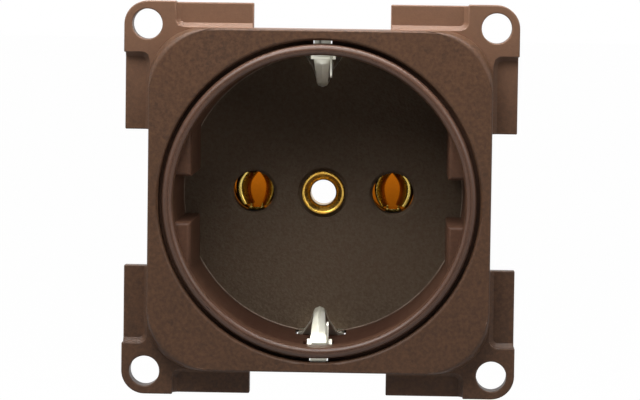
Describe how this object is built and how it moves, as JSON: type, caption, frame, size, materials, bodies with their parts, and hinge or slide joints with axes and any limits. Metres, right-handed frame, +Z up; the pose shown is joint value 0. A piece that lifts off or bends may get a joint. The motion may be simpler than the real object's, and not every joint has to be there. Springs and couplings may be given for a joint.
{
  "type": "type f wall socket",
  "caption": "Brown panel-mounting earthed socket: square plate with corner ears, round well with side keys, earth tongues, sprung contacts and a rear terminal housing.",
  "frame": {"origin": "centre of the screw pattern, on the back face of the ears", "axes": "+Y into the wall, along the plug's way in; +Z up; +X to the right seen from the front"},
  "size_m": [0.052, 0.0355, 0.052],
  "materials": {
    "frame_plastic": "satin brown moulded plastic",
    "well_plastic": "brown moulded plastic with a fine spark-eroded grain on the floor",
    "housing_plastic": "dark brown moulded plastic",
    "contact_brass": "plain brass",
    "earth_metal": "bright plated sheet",
    "spring_steel": "bright spring steel",
    "terminal_steel": "zinc-plated steel"
  },
  "bodies": {
    "root": {"mounting_frame": "frame_plastic", "socket_well": "well_plastic", "centre_rivet": "contact_brass", "rivet_washer": "contact_brass", "earth_bracket": "earth_metal", "earth_strip": "earth_metal", "contact_base": "housing_plastic", "rear_cover": "housing_plastic", "housing_screw_left": "terminal_steel", "housing_screw_right": "terminal_steel", "line_clamp": "terminal_steel", "line_screw": "terminal_steel", "line_contact": "contact_brass", "line_contact_spring": "spring_steel", "neutral_clamp": "terminal_steel", "neutral_screw": "terminal_steel", "neutral_contact": "contact_brass", "neutral_contact_spring": "spring_steel", "earth_clamp": "terminal_steel", "earth_screw": "terminal_steel"}
  },
  "joints": []
}
